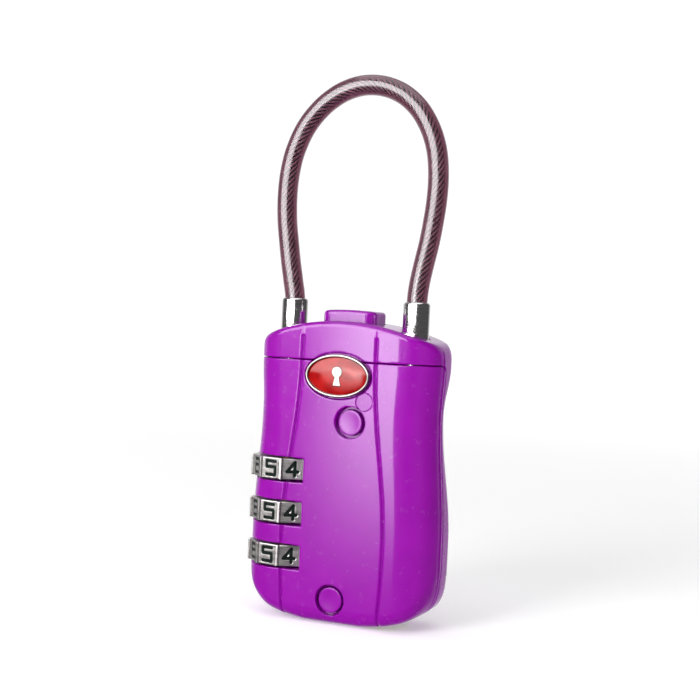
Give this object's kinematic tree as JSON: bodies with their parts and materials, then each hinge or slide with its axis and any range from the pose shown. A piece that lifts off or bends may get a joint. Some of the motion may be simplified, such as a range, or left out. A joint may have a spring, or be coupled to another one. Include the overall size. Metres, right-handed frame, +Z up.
{
  "type": "cable luggage lock",
  "caption": "Combination cable lock for luggage: rounded die-cast body, push button, number dials, key override and a vinyl-clad steel cable loop.",
  "frame": {"origin": "centre of the foot, on the surface the lock stands on", "axes": "+Z up along the body towards the cable loop, +X towards the cable end that comes free, -Y the front with the badge"},
  "size_m": [0.0299, 0.0116, 0.0794],
  "materials": {
    "purple_enamel": "high-gloss enamel on zinc die casting",
    "chrome": "polished chrome plate",
    "badge_silver": "polished nickel rim",
    "red_enamel": "translucent red enamel",
    "spring_steel": "spring steel, as drawn",
    "plain_steel": "stamped steel",
    "steel_rope": "stranded galvanised steel rope",
    "clear_vinyl": "clear smoky vinyl",
    "brass": "turned brass"
  },
  "bodies": {
    "root": {"front_cover": "purple_enamel", "rear_housing": "purple_enamel", "badge_bezel": "badge_silver", "badge_enamel": "red_enamel", "upper_rivet": "purple_enamel", "lower_rivet": "purple_enamel", "fixed_ferrule": "chrome", "anchor_clip": "plain_steel", "cable_core": "steel_rope", "cable_sheath": "clear_vinyl", "ejector_spring": "spring_steel", "button_spring": "spring_steel", "latch_spring": "spring_steel", "index_spring": "spring_steel", "reset_spring": "spring_steel", "key_cylinder": "brass", "cylinder_pin": "plain_steel"},
    "button": {"push_button": "purple_enamel", "button_stem": "plain_steel", "button_clip": "plain_steel"},
    "latch": {"latch": "plain_steel", "code_fence": "spring_steel"},
    "free_end": {"free_ferrule": "chrome", "free_stud": "chrome"},
    "ejector": {"ejector_plunger": "brass"},
    "dial_top": {"dial_1": "chrome"},
    "dial_middle": {"dial_2": "chrome"},
    "dial_bottom": {"dial_3": "chrome"},
    "sleeve_top": {"sleeve_1": "brass"},
    "sleeve_middle": {"sleeve_2": "brass"},
    "sleeve_bottom": {"sleeve_3": "brass"},
    "reset_spindle": {"dial_spindle": "plain_steel", "sleeve_clips": "plain_steel"},
    "key_barrel": {"key_plug": "brass", "key_wafers": "brass", "key_cam": "plain_steel", "cam_screw": "plain_steel"}
  },
  "joints": [
    {"name": "button_press", "type": "slide", "parent": "root", "child": "button", "axis": [0, 0, -1], "range_m": [0, 0.0012], "stiffness_N_per_m": 500, "springref_m": -0.001, "deforming": ["button_spring"]},
    {"name": "latch_slide", "type": "slide", "parent": "root", "child": "latch", "axis": [-1, 0, 0], "range_m": [0, 0.0012], "deforming": ["latch_spring", "code_fence"]},
    {"name": "free_end_lift", "type": "slide", "parent": "root", "child": "free_end", "axis": [0, 0, 1], "range_m": [0, 0.0048], "deforming": ["cable_sheath", "cable_core"]},
    {"name": "ejector_rise", "type": "slide", "parent": "root", "child": "ejector", "axis": [0, 0, 1], "range_m": [0, 0.003], "deforming": ["ejector_spring"]},
    {"name": "dial_top_turn", "type": "hinge", "parent": "root", "child": "dial_top", "pos_m": [-0.0093, 0, 0.0218], "axis": [0, 0, 1], "continuous": true, "deforming": ["index_spring"]},
    {"name": "dial_middle_turn", "type": "hinge", "parent": "root", "child": "dial_middle", "pos_m": [-0.0093, 0, 0.0155], "axis": [0, 0, 1], "continuous": true},
    {"name": "dial_bottom_turn", "type": "hinge", "parent": "root", "child": "dial_bottom", "pos_m": [-0.0093, 0, 0.0092], "axis": [0, 0, 1], "continuous": true},
    {"name": "reset_press", "type": "slide", "parent": "root", "child": "reset_spindle", "axis": [0, 0, 1], "range_m": [0, 0.0013], "stiffness_N_per_m": 300, "springref_m": -0.001, "deforming": ["reset_spring"]},
    {"name": "sleeve_top_shift", "type": "slide", "parent": "dial_top", "child": "sleeve_top", "axis": [0, 0, 1], "range_m": [0, 0.0013]},
    {"name": "sleeve_middle_shift", "type": "slide", "parent": "dial_middle", "child": "sleeve_middle", "axis": [0, 0, 1], "range_m": [0, 0.0013]},
    {"name": "sleeve_bottom_shift", "type": "slide", "parent": "dial_bottom", "child": "sleeve_bottom", "axis": [0, 0, 1], "range_m": [0, 0.0013]},
    {"name": "key_turn", "type": "hinge", "parent": "root", "child": "key_barrel", "pos_m": [0.0066, 0, 0.0012], "axis": [0, 0, 1], "range_deg": [0, 90]}
  ],
  "couplings": [
    {"joint": "latch_slide", "follows": "button_press", "ratio": 1},
    {"joint": "free_end_lift", "follows": "button_press", "ratio": 4},
    {"joint": "ejector_rise", "follows": "button_press", "ratio": 2.5},
    {"joint": "sleeve_top_shift", "follows": "reset_press", "ratio": 1},
    {"joint": "sleeve_middle_shift", "follows": "reset_press", "ratio": 1},
    {"joint": "sleeve_bottom_shift", "follows": "reset_press", "ratio": 1}
  ]
}
